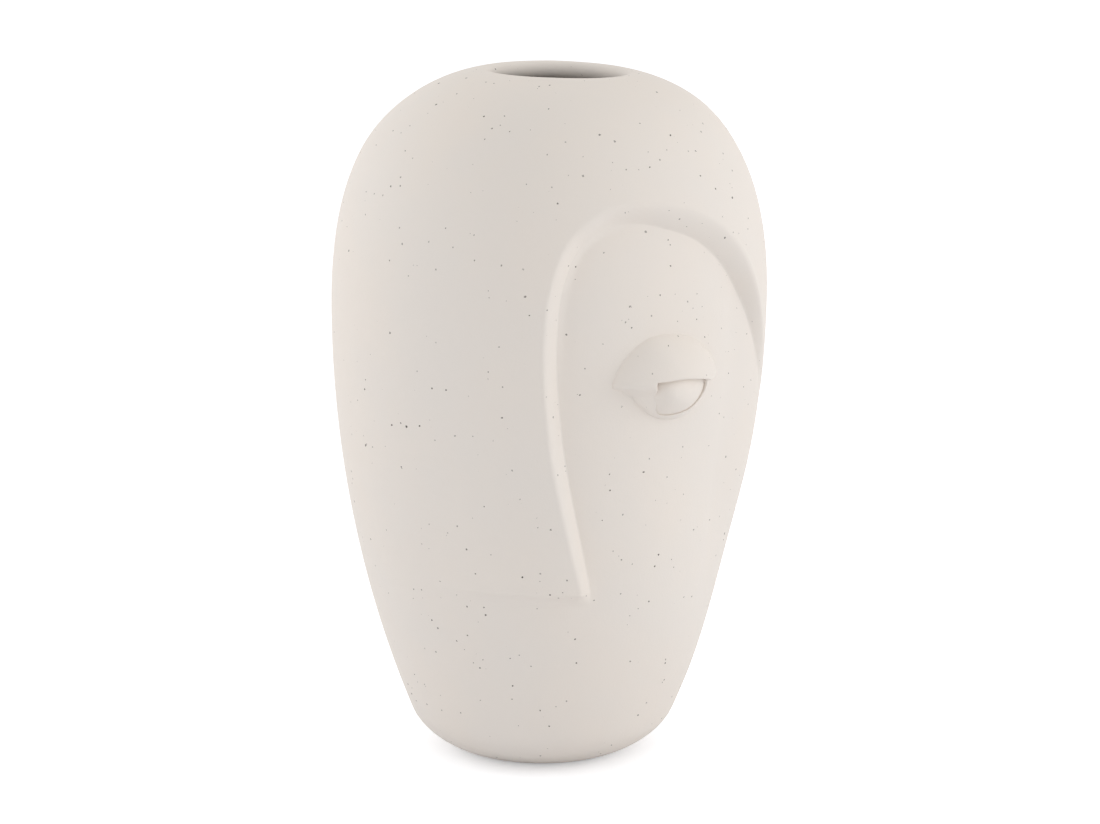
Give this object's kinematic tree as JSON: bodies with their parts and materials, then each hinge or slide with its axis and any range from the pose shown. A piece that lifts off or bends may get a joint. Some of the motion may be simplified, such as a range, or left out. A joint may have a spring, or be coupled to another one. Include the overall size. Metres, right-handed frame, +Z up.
{
  "type": "face vase",
  "caption": "Speckled stoneware vase, a tall egg on a rounded foot with a small mouth; one side carries an abstract face: nose, arched brow and one lidded eye.",
  "frame": {"origin": "centre of the foot's felt pad on the table it stands on", "axes": "+Z up along the vase's height; the face looks towards -Y, its eye is on the +X side of the nose"},
  "size_m": [0.1576, 0.1576, 0.2509],
  "materials": {
    "speckled_stoneware": "matte warm off-white stoneware with small dark iron speckles",
    "felt": "thin pressed wool felt, beige"
  },
  "bodies": {
    "root": {"vase_body": "speckled_stoneware", "eyelid": "speckled_stoneware", "eyeball": "speckled_stoneware", "foot_felt": "felt"}
  },
  "joints": []
}
